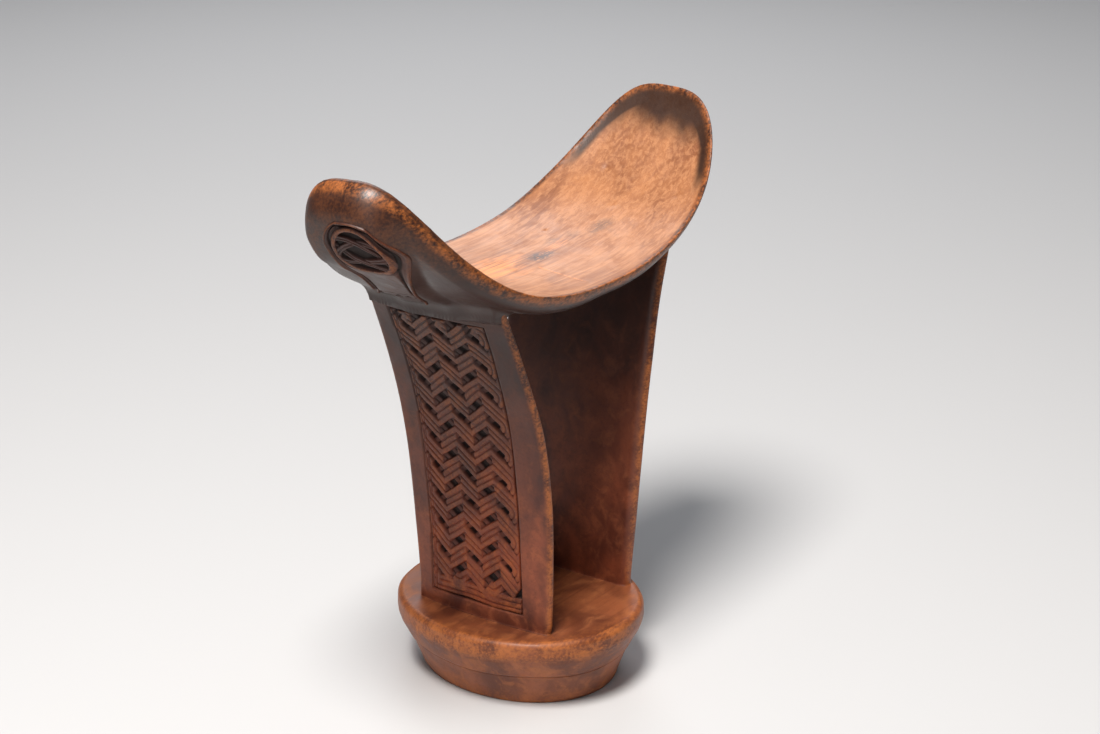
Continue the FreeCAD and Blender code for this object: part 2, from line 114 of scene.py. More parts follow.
def noise(points, scale, shift=0.0):
    """Soft repeatable noise from -1 to 1 at points, its lumps about a scale across."""
    p = np.asarray(points, float) / np.asarray(scale, float) + shift
    i = np.floor(p).astype(int)
    f = p - i
    f = f * f * (3 - 2 * f)
    total = 0.0
    for dx in (0, 1):
        for dy in (0, 1):
            for dz in (0, 1):
                corner = NOISE[(i[..., 0] + dx) % NOISE_SIZE, (i[..., 1] + dy) % NOISE_SIZE,
                               (i[..., 2] + dz) % NOISE_SIZE]
                weight = (np.where(dx, f[..., 0], 1 - f[..., 0])
                          * np.where(dy, f[..., 1], 1 - f[..., 1])
                          * np.where(dz, f[..., 2], 1 - f[..., 2]))
                total = total + corner * weight
    return total


def stack(x, y, z):
    """Points from three arrays that broadcast together."""
    return np.stack(np.broadcast_arrays(x, y, z), -1).astype(float)


# ------------------------------------------------------------------ meshes

def make_object(name, points, faces, attributes, material):
    """A closed mesh object in metres, smooth shaded, with its per-point attributes."""
    mesh = bpy.data.meshes.new(name)
    mesh.from_pydata((np.asarray(points) * MM).tolist(), [], faces)
    for label, values in attributes.items():
        layer = mesh.attributes.new(label, "FLOAT", "POINT")
        layer.data.foreach_set("value", np.asarray(values, np.float32).ravel())
    mesh.polygons.foreach_set("use_smooth", [True] * len(mesh.polygons))
    mesh.validate()
    mesh.update()
    piece = bpy.data.objects.new(name, mesh)
    bpy.context.scene.collection.objects.link(piece)
    mesh.materials.append(material)
    return piece


def quads(index):
    """Quads over a grid of point numbers."""
    a, b, c, d = index[:-1, :-1], index[1:, :-1], index[1:, 1:], index[:-1, 1:]
    return np.stack([a, b, c, d], -1).reshape(-1, 4)


def border(index):
    """Point numbers round the edge of a grid, as a loop."""
    return np.concatenate([index[:, 0], index[-1, 1:], index[-2::-1, -1], index[0, -2:0:-1]])


def shell(name, front, back, attributes, material, welded=False):
    """A closed mesh from two facing grids, joined round their edges.

    A welded shell's grids share their edge points; otherwise a strip of wall joins them.
    attributes holds a pair of arrays, front and back, for each label.
    """
    rows, columns = front.shape[:2]
    front_index = np.arange(rows * columns).reshape(rows, columns)
    points = front.reshape(-1, 3)
    keep = np.ones((rows, columns), bool)
    if welded:
        keep[0], keep[-1], keep[:, 0], keep[:, -1] = False, False, False, False
    back_index = front_index.copy()
    back_index[keep] = rows * columns + np.arange(keep.sum())
    points = np.concatenate([points, back[keep]])
    faces = [quads(front_index), quads(back_index)[:, ::-1]]
    if not welded:
        first, second = border(front_index), border(back_index)
        faces.append(np.stack([np.roll(first, -1), first, second, np.roll(second, -1)], -1))
    values = {label: np.concatenate([pair[0].ravel(), pair[1][keep]])
              for label, pair in attributes.items()}
    return make_object(name, points, np.concatenate(faces).tolist(), values, material)


def loft(name, rings, attributes, material):
    """A closed mesh from closed rings, row by row, with a fan over each end."""
    rows, columns = rings.shape[:2]
    index = np.arange(rows * columns).reshape(rows, columns)
    index = np.concatenate([index, index[:, :1]], 1)
    low, high = rows * columns, rows * columns + 1
    points = np.concatenate([rings.reshape(-1, 3), [rings[0].mean(0)], [rings[-1].mean(0)]])
    faces = quads(index)[:, ::-1].tolist()
    faces += [[int(index[0, c]), int(index[0, c + 1]), low] for c in range(columns)]
    faces += [[int(index[-1, c + 1]), int(index[-1, c]), high] for c in range(columns)]
    values = {label: np.concatenate([grid.ravel(), [grid[0].mean()], [grid[-1].mean()]])
              for label, grid in attributes.items()}
    return make_object(name, points, faces, values, material)


def place(piece, material_slot, *nodes):
    """Put a finished piece on the headrest's one body, in place of its CAD nodes."""
    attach(piece, "root")
    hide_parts(*nodes)
    return piece


# ------------------------------------------------------------------ cradle

# Each pair holds distances from mid length and the values there. EDGE_LEFT and EDGE_RIGHT are the
# cradle's thickness near the rim of each half, and MIDDLE_THICKNESS and KEEL_THICKNESS what it is
# along the middle, away from a keel and on it.
EDGE_LEFT = ([0, 20, 45, 66, 85], [4.9, 6.0, 4.6, 4.4, 7.0])
EDGE_RIGHT = ([0, 20, 45, 66, 85], [4.9, 5.3, 3.6, 3.0, 4.0])
MIDDLE_THICKNESS = ([0, 30, 46, 66, 85], [6.3, 5.6, 4.7, 4.0, 6.6])
KEEL_THICKNESS = ([0, 36, 44, 56, 68, 73, 77, 81, 86], [6.3, 5.2, 5.6, 6.0, 8.0, 10.2, 10.2, 9.6, 9.0])
KEEL_HALF_WIDTH = ([40, 48, 58, 66, 74, 80, 86], [8.5, 8.0, 8.5, 11.0, 13.5, 13.0, 10.0])
DISH = ([0, 30, 60, 86], [0.9, 1.4, 3.2, 4.6])  # how far the seat sinks below its rim
LIP = 1.1  # radius of the rim's inner edge
POST_HEAD_X = (44.3, 45.1)  # outer faces of the left and right posts under the cradle
POST_HEAD_DEPTH = 4.6
POST_HEAD_HALF = 23.4
HEAD_FILLET = 4.5  # radius where a post runs into the cradle
HEAD_FILLET_NARROWING = (1.3, 2.6)  # how much tighter it is at the near and far edges


def seat_side(x):
    """Height and slope of the rim seen from the side."""
    rise = np.where(x < 0, RISE_LEFT, RISE_RIGHT)
    quartic = np.where(x < 0, QUARTIC_LEFT, QUARTIC_RIGHT)
    s = np.abs(x) / HALF_LENGTH
    height = SEAT_RIM + rise * ((1 - quartic) * s ** 2 + quartic * s ** 4)
    slope = np.sign(x) * rise / HALF_LENGTH * (2 * (1 - quartic) * s + 4 * quartic * s ** 3)
    return height, np.arctan(slope)


def roundness(x):
    """The outline's exponent at the end where x is."""
    return np.where(x < 0, ROUNDNESS_LEFT, ROUNDNESS_RIGHT)


def end_lean(x, y):
    """How far the leaning left end stands above or below its middle line."""
    return np.where(x < 0, -LEFT_LEAN * y / HALF_WIDTH * (x / HALF_LENGTH) ** 2, 0)


def outline_measure(x, y):
    """0 at the middle of the plan outline and 1 on it."""
    power = roundness(x)
    return ((np.abs(x) / HALF_LENGTH) ** power + (np.abs(y) / HALF_WIDTH) ** power) ** (1 / power)


def rim_distance(x, y, turn):
    """Distance over the surface to the rim."""
    measure = np.maximum(outline_measure(x, y), 0.05)
    power = roundness(x) - 1
    over_x = (np.abs(x) / HALF_LENGTH / measure) ** power / HALF_LENGTH * np.cos(turn)
    over_y = (np.abs(y) / HALF_WIDTH / measure) ** power / HALF_WIDTH
    return (1 - measure) / np.hypot(over_x, over_y)


def head_fillet(x, y):
    """How far the cradle's underside comes down to meet the head of a post."""
    head = np.where(x < 0, POST_HEAD_X[0], POST_HEAD_X[1])
    beyond_x = np.maximum(np.abs(x) - head, head - POST_HEAD_DEPTH - np.abs(x))
    beyond_y = np.abs(y) - POST_HEAD_HALF
    narrowing = np.where(y < 0, *HEAD_FILLET_NARROWING)
    outside = np.hypot(np.maximum(beyond_x, 0), narrowing * np.maximum(beyond_y, 0))
    distance = np.clip(outside, 0, HEAD_FILLET)
    return HEAD_FILLET - np.sqrt(HEAD_FILLET ** 2 - (HEAD_FILLET - distance) ** 2)


def cradle_thickness(x, y):
    """Thickness square to the surface: thin at the rim, thick along the keel of each end."""
    far = np.abs(x)
    power = roundness(x)
    width = HALF_WIDTH * np.maximum(1 - (far / HALF_LENGTH) ** power, 0.02) ** (1 / power)
    inward = 1 - np.clip(np.abs(y) / width, 0, 1) ** 2
    edge = np.where(x < 0, along(far, *EDGE_LEFT), along(far, *EDGE_RIGHT))
    flat = edge + (along(far, *MIDDLE_THICKNESS) - edge) * inward
    keel = along(far, *KEEL_THICKNESS)
    half = along(far, *KEEL_HALF_WIDTH)
    share = 1 - smooth((np.abs(y) - half + 1.0) / 6.5)
    return flat + np.maximum(keel - flat, 0) * share * smooth((far - 34) / 10)


CRADLE_CUT = 0.45  # how far a carver's strokes leave each member's surface uneven
POST_CUT = 0.35
BASE_CUT = 0.4


def hand_cut(points, amount, scale=24.0):
    """Points pushed about a little, as a surface that was cut by hand is."""
    push = [noise(points, scale, shift) for shift in (3.1, 9.7, 17.3)]
    return points + amount * np.stack(push, -1)


def cradle_faces(x, y):
    """Upper and lower points of the cradle over the plan points x, y."""
    height, turn = seat_side(x)
    down = stack(np.sin(turn), 0, -np.cos(turn))
    distance = rim_distance(x, y, turn)
    measure = outline_measure(x, y)
    dish = along(np.abs(x), *DISH) * (1 - np.clip(measure, 0, 1) ** 4)
    middle = stack(x, y, height + end_lean(x, y))
    thickness = cradle_thickness(x, y)
    lip = 0.35 * LIP * (1 - closing(distance, LIP))
    swell = LEFT_SWELL * smooth((-x - 30) / 35)
    upper = middle + down * (dish + lip - swell * closing(distance, 2.2 * LEFT_SWELL))[..., None]
    rounding = np.clip(0.95 * thickness, 2.0, 7.0)
    below = lip + (dish + thickness - lip) * closing(distance, rounding)
    lower = middle + down * below[..., None]
    lower[..., 2] -= head_fillet(x, y) * smooth(distance / 3)
    bend = np.where(x < 0, LEFT_BEND * (x / HALF_LENGTH) ** 2, 0)
    upper[..., 1] += bend
    lower[..., 1] += bend
    return upper, lower


def disc_grid(rows, columns):
    """A grid squeezed into the unit disc, finest at its edge."""
    u = np.sin(np.linspace(-1, 1, rows) * math.pi / 2)[:, None]
    v = np.sin(np.linspace(-1, 1, columns) * math.pi / 2)[None, :]
    return u * np.sqrt(1 - v * v / 2), v * np.sqrt(1 - u * u / 2)


def plan_grid(rows, columns):
    """Plan points of a grid whose edge is the cradle's rim."""
    across, up = disc_grid(rows, columns)
    angle = np.arctan2(up, across)
    power = roundness(across)
    reach = (np.abs(np.cos(angle)) ** power + np.abs(np.sin(angle)) ** power) ** (-1 / power)
    return across * reach * HALF_LENGTH, up * reach * HALF_WIDTH


def normals(points):
    """Unit normals of a grid of points."""
    square = np.cross(np.gradient(points, axis=0), np.gradient(points, axis=1))
    return square / np.maximum(np.linalg.norm(square, axis=-1, keepdims=True), 1e-9)


# The carved end: a drop-shaped field on the keel, with an oval medallion in its upper part.
# run is the distance along the keel's middle line, from the post's head up to the tip's lip.
RUN_START_X = 47.0
MEDALLION_RUN = 44.4
MEDALLION_HALF_RUN = 9.4
MEDALLION_HALF_WIDTH = 9.8
FIELD_TOP = MEDALLION_RUN + MEDALLION_HALF_RUN + 2.2
FIELD_CAP = 10.0  # length of the field's rounded top
FIELD_RUNS = [0, 12, 24, 37, 46, 54]  # places along the run of the values below
FIELD_HALF_WIDTH = (FIELD_RUNS, [9.4, 8.4, 8.6, 10.4, 12.0, 12.0])
FIELD_MIDDLE = {-1: (FIELD_RUNS, [8.0, 1.5, -3.0, -4.9, -5.2, -5.2]),  # the left one leans
                1: (FIELD_RUNS, [0, 0, 0, 0, 0, 0])}
FIELD_SINK = 1.3  # how deep the cradle is cut away under the field
LEFT_LIP = 58.0  # where the left end's thick lip begins, along X
LIP_WEAR = 0.18


def keel_run_table(side):
    """Plan x against distance along the keel's middle line."""
    x = side * (HALF_LENGTH - (HALF_LENGTH - RUN_START_X + 6) * np.linspace(1, 0.005, 600) ** 2.5)
    lower = cradle_faces(x, 0 * x)[1]
    steps = np.linalg.norm(np.diff(lower, axis=0), axis=-1)
    run = np.concatenate([[0], np.cumsum(steps)])
    return np.abs(x), run - np.interp(RUN_START_X, np.abs(x), run)


KEEL_RUN = {side: keel_run_table(side) for side in (-1, 1)}


def outline_share(side, run, y):
    """How far the tip's curved outline pulls in a line across the keel."""
    power = roundness(side)
    reach = np.maximum(1 - (np.abs(y) / HALF_WIDTH) ** power, 0.01) ** (1 / power)
    return 1 + (reach - 1) * smooth((run - 15) / 25)


def run_at(side, x, y):
    """Distance along the keel for plan points of one end."""
    far = x * side
    run = np.interp(far, *KEEL_RUN[side])
    for _ in range(4):
        run = np.interp(far / outline_share(side, run, y), *KEEL_RUN[side])
    return run


def field_half(run):
    """Half width of the drop-shaped field."""
    cap = np.clip((FIELD_TOP - run) / FIELD_CAP, 0, 1)
    return along(run, *FIELD_HALF_WIDTH) * np.sqrt(1 - (1 - cap) ** 2) + 0.03


# Marks on the seat, seen from above. A stain or a glow has a middle, a half size and a strength,
# and a dent has a middle and a radius.
STAINS = (((10.4, 0.6), (8.5, 5.0), 1.0), ((39.7, -3.2), (7.5, 4.6), 0.6),
          ((25.0, 5.6), (5.5, 3.2), 0.45), ((31.5, 2.0), (4.0, 2.6), 0.35))
GLOWS = (((-12.0, 3.5), (25.0, 11.0), 1.0), ((22.1, 2.0), (9.0, 2.4), 0.7),
         ((-34.0, 8.0), (16.0, 9.0), 0.5))
DENTS = (((63.6, 11.6), 1.3), ((51.3, 0.6), 1.5), ((59.6, -18.7), 1.6), ((30.0, 12.0), 1.0))
DENT_DEPTH = 0.35
SCRATCH = ((2.2, -5.1), (-1.8, -25.5), 0.4)  # two ends and half width
SCRATCH_DEPTH = 0.25
TIP_SHADE_START = 72.0  # where the painted shade of the right tip begins, along X
RIM_SHADE_STRIP_START = 58.0  # where the painted shade strip inside the rim begins
RIM_SHADE_STRIP = 3.5  # distance from the rim up to which that strip is painted dark as shade


def spot(x, y, center, half, blur):
    """1 in the middle of an oval mark on the seat, fading to 0 with a ragged edge."""
    reach = np.hypot((x - center[0]) / half[0], (y - center[1]) / half[1])
    return 1 - smooth(reach + 0.35 * blur - 0.1)


def marks(x, y, spots, blur):
    """The strongest of several oval marks at each point."""
    return np.max([share * spot(x, y, center, half, blur) for center, half, share in spots], 0)


def seat_marks(x, y, distance):
    """Stained and glowing parts of the seat, its painted shade, and the depth of its dents."""
    flat = stack(x, y, 0 * x)
    ragged = noise(flat, (5.0, 2.2, 1.0), 4.4) + 0.6 * noise(flat, (1.6, 0.9, 1.0), 7.7)
    (ax, ay), (bx, by), half_width = SCRATCH
    dx, dy = bx - ax, by - ay
    t = np.clip(((x - ax) * dx + (y - ay) * dy) / (dx ** 2 + dy ** 2), 0, 1)
    scratch = 1 - smooth(np.hypot(x - ax - t * dx, y - ay - t * dy) / half_width)
    glow = np.maximum(marks(x, y, GLOWS, ragged), 0.8 * scratch)
    # painted shade over the right tip and in a strip inside its rim
    wave = 2.2 * noise(flat, 9.0, 6.1) + noise(flat, 3.0, 2.2)
    strip = 1 - smooth((distance + 0.3 * wave - RIM_SHADE_STRIP) / 3)
    painted_tip_shade = smooth((x + wave - TIP_SHADE_START) / 8) + smooth((x - RIM_SHADE_STRIP_START) / 10) * strip
    depth = sum(DENT_DEPTH * np.exp(-((x - cx) ** 2 + (y - cy) ** 2) / radius ** 2)
                for (cx, cy), radius in DENTS)
    return (marks(x, y, STAINS, ragged), glow, np.clip(painted_tip_shade, 0, 1),
            depth + SCRATCH_DEPTH * scratch)


def field_here(side, x, y):
    """1 under the carved field of one end and 0 elsewhere on the cradle's underside."""
    run = run_at(side, x, y)
    inside = field_half(np.clip(run, 0, FIELD_TOP)) - np.abs(y - along(run, *FIELD_MIDDLE[side]))
    end = (x * side > RUN_START_X - 5) * smooth(run + 1) * smooth(FIELD_TOP - 0.8 - run)
    return end * smooth(inside - 0.4)


def cradle(material):
    """The cradle with both keels, sunk where the carved fields are laid in."""
    x, y = plan_grid(560, 240)
    upper, lower = cradle_faces(x, y)
    _, turn = seat_side(x)
    down = stack(np.sin(turn), 0, -np.cos(turn))
    sunk = FIELD_SINK * (field_here(-1, x, y) + field_here(1, x, y))
    lower = lower - down * sunk[..., None]
    distance = rim_distance(x, y, turn)
    rim = 1 - smooth(distance / 3.2)
    rough = 0.10 * noise(stack(x, y, 0 * x), 1.6)
    rough = rough * (1 - smooth(distance / 2.5)) * smooth(distance / 0.4)
    stain, glow, painted_tip_shade, depth = seat_marks(x, y, distance)
    upper = hand_cut(upper, CRADLE_CUT) + down * (rough + depth)[..., None]
    lower = hand_cut(lower, CRADLE_CUT)
    lip = LIP_WEAR * smooth((-x - LEFT_LIP) / 14) * (1 - smooth((distance - 9) / 8))
    seat = 1 - 0.85 * smooth((-x - 52) / 12)
    seat = seat * smooth((distance - 0.8) / 1.6)
    none = np.zeros_like(x)
    rim_above = np.maximum(rim * (1 - 0.6 * smooth((-x - LEFT_LIP) / 16)), lip)
    rim_below = np.maximum(1 - smooth(distance / 1.4), lip * smooth((run_at(-1, x, y) - 30) / 18))
    # the right tip's painted shade goes to the material as an attribute
    attributes = {"wear": (rim_above, rim_below), "seat": (seat, none),
                  "hollow": (none, sunk / FIELD_SINK), "stain": (stain, none),
                  "glow": (glow, none), "painted_tip_shade": (painted_tip_shade, none)}
    return shell("cradle_carved", upper, lower, attributes, material, welded=True)


# ------------------------------------------------------------------ carved ends

def keel_surface(side, run, y):
    """Points on the keel's underside at distances along it and places across it."""
    run, y = np.broadcast_arrays(run, y)
    x = side * np.interp(run, *KEEL_RUN[side][::-1]) * outline_share(side, run, y)
    return hand_cut(cradle_faces(x, y)[1], CRADLE_CUT)


def raise_relief(side, surface, relief):
    """A relief raised out of a surface; a point's relief is its height over the surface."""
    outward = normals(surface)
    middle = outward[outward.shape[0] // 2, outward.shape[1] // 2, 0]
    return surface + outward * (math.copysign(1, middle * side) * relief)[..., None]


def groove(distance, width, depth):
    """A cut of a round-bottomed gouge: its depth at a distance from its middle line."""
    return -depth * (1 - smooth(np.abs(distance) / width))


TOOTH_PITCH = 3.6  # a row of triangular cuts across the field, below the medallion
TOOTH_FOOT = 5.6  # the row's start along the run
TOOTH_HEIGHT = 4.0
TOOTH_DEPTH = 0.8
FIELD_THICKNESS = 1.75
MEDALLION_THICKNESS = 1.5


def keel_field(side, name, material):
    """The drop-shaped field: a raised border, and small cuts between the medallion and post."""
    run = np.linspace(0, 1, 260)[:, None]
    run = (1 - (1 - run) ** 1.35) * FIELD_TOP - 0.6
    v = np.sin(np.linspace(-1, 1, 150) * math.pi / 2)[None, :]
    half = field_half(np.clip(run, 0, FIELD_TOP)) * 1.04
    y = v * half + 0 * run
    surface = keel_surface(side, run, y + along(run, *FIELD_MIDDLE[side]))
    edge = np.minimum((1 - np.abs(v)) * half, (FIELD_TOP - 0.6 - run) * 1.2)
    relief = 0.05 + 0.5 * (smooth(edge / 0.7) - smooth((edge - 0.9) / 0.6))
    relief = relief - 0.25 * (1 - smooth(edge / 0.5))
    relief = relief + groove(edge - 2.1, 0.6, 0.75)
    oval = np.hypot((run - MEDALLION_RUN) / MEDALLION_HALF_RUN, y / MEDALLION_HALF_WIDTH)
    relief = relief + groove((oval - 1.05) * 10, 0.8, 0.5)
    inner = smooth((edge - 2.6) / 0.5) * smooth((oval - 1.1) / 0.05)
    for level in (2.2, 4.0):
        relief = relief + inner * groove(run - level - 0.02 * y, 0.45, 0.6)
    tooth = np.abs((y / TOOTH_PITCH) % 1 - 0.5) * 2
    top = TOOTH_FOOT + TOOTH_HEIGHT * tooth
    cut = smooth((run - TOOTH_FOOT + 0.2) / 0.5) * smooth((top - run) / 0.9)
    relief = relief - inner * TOOTH_DEPTH * cut
    relief = relief + inner * smooth((run - 10.4) / 0.4) * groove(run - 11.4 - 0.02 * y ** 2, 0.5, 0.6)
    relief = relief - 1.2 * (1 - smooth((oval - 0.84) / 0.06))
    # depth in the cuts, which the wood darkens with grime and painted shade
    hollow = np.clip(-relief / 0.7, 0, 1) * (oval > 0.9)
    front = raise_relief(side, surface, relief + 0.06 * noise(surface, 2.2))
    back = raise_relief(side, surface, np.full_like(relief, -FIELD_THICKNESS))
    none = 0 * relief
    return shell(name, front, back, {"wear": (0.25 * (relief > 0.3), none), "seat": (none, none),
                                     "hollow": (hollow, hollow)}, material)


KNOT_LEAN = 0.42  # how far each of the knot's two loops leans, in radians
KNOT_LOOP = (9.4, 3.9)  # half length and half width of a loop's middle line
KNOT_BAND = 1.25  # half width of a loop's band
KNOT_GROUND = -0.95  # the floor between the loops


def knot_loop(across, up, lean):
    """Signed distance from the middle line of a leaning oval loop."""
    c, s = math.cos(lean), math.sin(lean)
    a, b = across * c + up * s, up * c - across * s
    level = np.hypot(a / KNOT_LOOP[0], b / KNOT_LOOP[1])
    steep = np.hypot(a / KNOT_LOOP[0] ** 2, b / KNOT_LOOP[1] ** 2) / np.maximum(level, 0.05)
    return (level - 1) / np.maximum(steep, 0.02)


def medallion(side, name, material):
    """An oval medallion: a raised ring round two interlaced loops."""
    p, q = disc_grid(170, 230)
    run = MEDALLION_RUN + MEDALLION_HALF_RUN * p
    y = MEDALLION_HALF_WIDTH * q
    radius = np.hypot(p, q)
    surface = keel_surface(side, run, y + along(run, *FIELD_MIDDLE[side]))
    ring = (1 - radius) * 10.5
    up, across = MEDALLION_HALF_RUN * p * 1.12, MEDALLION_HALF_WIDTH * q
    knot = np.full_like(radius, KNOT_GROUND)
    where = np.arctan2(up, across)
    for lean, over in ((KNOT_LEAN, 0.0), (-KNOT_LEAN, math.pi / 2)):
        distance = knot_loop(across, up, lean)
        dip = 0.5 * np.cos(where - over) ** 8
        crown = 0.12 - dip + groove(distance, 0.38, 0.3) - 0.12 * (distance / KNOT_BAND) ** 2
        wall = smooth((KNOT_BAND - np.abs(distance)) / 0.4)
        knot = np.maximum(knot, KNOT_GROUND + (crown - KNOT_GROUND) * wall)
    border_ring = 0.42 - 0.35 * ((ring - 0.9) / 0.9) ** 2
    rise = smooth((1.9 - ring) / 0.4)
    relief = knot * (1 - rise) + np.maximum(border_ring, -0.2) * rise
    # depth in the cuts, which the wood darkens with grime and painted shade
    hollow = np.clip(-relief / 0.8, 0, 1)
    front = raise_relief(side, surface, relief + 0.05 * noise(surface, 1.8))
    back = raise_relief(side, surface, np.full_like(relief, -MEDALLION_THICKNESS))
    wear = 0.5 * (relief > 0.2)
    none = 0 * wear
    return shell(name, front, back, {"wear": (wear, none), "seat": (none, none),
                                     "hollow": (hollow, hollow)}, material)


# ------------------------------------------------------------------ posts

POST_THICKNESS = 5.2
POST_EDGE = 1.5  # depth of a post's rounded outer edges
POST_BACK_ROUND = 3.2  # how far in the rounding of its inner face reaches
POST_FLARE = {-1: 22.7, 1: 22.7 - 3.2}  # how far a post's outer face moves out, foot to cradle
POST_FLARE_POWER = 2.66
POST_HEAD_HEIGHT = 137.9  # where that outward move is complete
POST_BOW = {-1: 1.6, 1: 1.2}  # how far the outer face swells at its middle
POST_TOP = 141.0  # top of a post before it is cut to the cradle's underside
POST_BITE = 1.2  # how far a post's top runs into the cradle
POST_STATIONS = [25, 50, 75, 100, 125, 137, 146]  # heights of the values below
POST_HALF = {-1: (POST_STATIONS, [25.7, 27.0, 27.5, 27.4, 26.3, 25.6, 25.6]),
             1: (POST_STATIONS, [26.3, 27.7, 28.3, 28.6, 28.6, 28.4, 28.0])}
POST_MIDDLE = {-1: (POST_STATIONS, [-0.65, -0.7, -0.6, 0.1, 0.75, 0.8, 0.8]),
               1: (POST_STATIONS, [-0.8, -0.9, -0.9, -0.3, 0.9, 1.3, 1.4])}
PANEL_FAR = 19.3  # the panel's edges along Y; -Y is the camera's side
PANEL_NEAR = -17.0
PANEL_DEPTH = 2.2


def post_rise(z):
    """0 at a post's foot and 1 under the cradle."""
    return (z - BASE_TOP) / (POST_HEAD_HEIGHT - BASE_TOP)


def post_place(side, y, z):
    """0 on a post's middle line, and -1 and 1 at its two edges."""
    return (y - along(z, *POST_MIDDLE[side])) / along(z, *POST_HALF[side])


def post_outer(side, y, z):
    """Outer face of a post along X, before its edges are rounded."""
    edge = POST_FOOT[side] + POST_FLARE[side] * np.maximum(post_rise(z), 0) ** POST_FLARE_POWER
    return side * (edge + POST_BOW[side] * (1 - post_place(side, y, z) ** 2))


def post(side, name, material):
    """A slab post with rounded edges and a sunk field where its plait is laid in."""
    z = np.concatenate([np.linspace(BASE_TOP, PANEL_LOW - 0.1, 8),
                        np.linspace(PANEL_LOW, PANEL_HIGH, 220),
                        np.linspace(PANEL_HIGH + 0.1, POST_TOP, 22)])[:, None]
    v = np.sin(np.linspace(-1, 1, 61) * math.pi / 2)
    low, high = (PANEL_NEAR, PANEL_FAR) if side < 0 else (-PANEL_FAR, -PANEL_NEAR)
    half, middle = along(z, *POST_HALF[side]), along(z, *POST_MIDDLE[side])
    outside = middle + v[None, :] * half
    for edge in (low, high):
        for offset in (-0.12, 0.0):
            shift = offset if edge < 0 else -offset
            outside = np.concatenate([outside, np.full_like(z, edge + shift)], 1)
    outside = np.sort(outside, 1)
    inside = outside[:, ::-1]
    sunk = ((outside > low - 0.05) & (outside < high + 0.05) & (z > PANEL_LOW - 0.05)
            & (z < PANEL_HIGH + 0.05)) * 1.0
    outer = post_outer(side, outside, z)
    thickness = POST_THICKNESS + 0.4 * smooth((z - 110) / 30)
    inner_x = post_outer(side, middle, z) - side * thickness
    seam_x = post_outer(side, middle + half, z) - side * POST_EDGE
    edge_gap = half - np.abs(outside - middle)
    back_gap = half - np.abs(inside - middle)
    outer = seam_x + (outer - seam_x) * closing(edge_gap, POST_EDGE) - side * sunk * PANEL_DEPTH
    inner = seam_x + (inner_x - seam_x) * closing(back_gap, POST_BACK_ROUND)
    ring_x = np.concatenate([outer, inner[:, 1:-1]], 1)
    ring_y = np.concatenate([outside, inside[:, 1:-1]], 1)
    rings = stack(ring_x, ring_y, z)
    underside = cradle_faces(ring_x[-1], ring_y[-1])[1][:, 2]
    top = underside + POST_BITE + head_fillet(ring_x[-1], ring_y[-1])
    lift = (top - PANEL_HIGH) / (POST_TOP - PANEL_HIGH) - 1
    rings[..., 2] += np.maximum(z - PANEL_HIGH, 0) * lift
    gap = np.concatenate([edge_gap, back_gap[:, 1:-1]], 1)
    wear = (1 - smooth(gap / 1.8)) * smooth((POST_HEAD_HEIGHT + 3 - z) / 6)
    hollow = np.concatenate([sunk, 0 * inner[:, 1:-1]], 1)
    if side < 0:
        rings, wear, hollow = rings[:, ::-1], wear[:, ::-1], hollow[:, ::-1]
    free = smooth((z - BASE_TOP) / 3)[..., None]
    rings = rings + free * (hand_cut(rings, POST_CUT) - rings)
    return loft(name, rings, {"wear": wear, "seat": 0 * wear, "hollow": hollow}, material)


# ------------------------------------------------------------------ plait

COLUMN_STEP = 6.6  # between columns of crossings
FIRST_COLUMN = 4.9
COLUMNS = 5
ROW_STEP = 10.2  # between crossings up a column
BAND_HALF = 3.15
STRAND_GROOVE = 0.92  # distance of a band's two grooves from its middle
PIT_DEPTH = 1.75
TURN_RADIUS = 3.6  # middle line of a band where it turns back at the border


def segment_distance(a, b, start, end):
    """Signed distance from a stretch of a band's middle line, and where it stops, infinity."""
    dx, dy = end[0] - start[0], end[1] - start[1]
    length = math.hypot(dx, dy)
    t = ((a - start[0]) * dx + (b - start[1]) * dy) / length
    w = ((b - start[1]) * dx - (a - start[0]) * dy) / length
    return np.where((t > -0.05) & (t < length + 0.05), w, 99.0)


def clipped_ends(start, stop, low, high):
    """The ends of a line kept between two levels, and whether each is at a side or at an end."""
    ends = []
    for (pa, pb), (qa, qb) in ((start, stop), (stop, start)):
        if low <= pb <= high:
            ends.append(((pa, pb), "side"))
        else:
            goal = low if pb < low else high
            share = (goal - pb) / (qb - pb)
            if 0 < share < 1:
                ends.append(((pa + (qa - pa) * share, goal), "end"))
    return ends


def band_turn(corner, kind, left, low, angle):
    """Middle, outward direction and half angle of the turn at a corner of a band."""
    inward_a = 1 if corner[0] <= left + 0.01 else -1
    inward_b = 1 if corner[1] <= low + 0.01 else -1
    if kind == "side":
        stand = TURN_RADIUS / math.sin(angle)
        return corner[0] + inward_a * stand, corner[1], -inward_a, 0, angle
    stand = TURN_RADIUS / math.cos(angle)
    return corner[0], corner[1] + inward_b * stand, 0, -inward_b, math.pi / 2 - angle


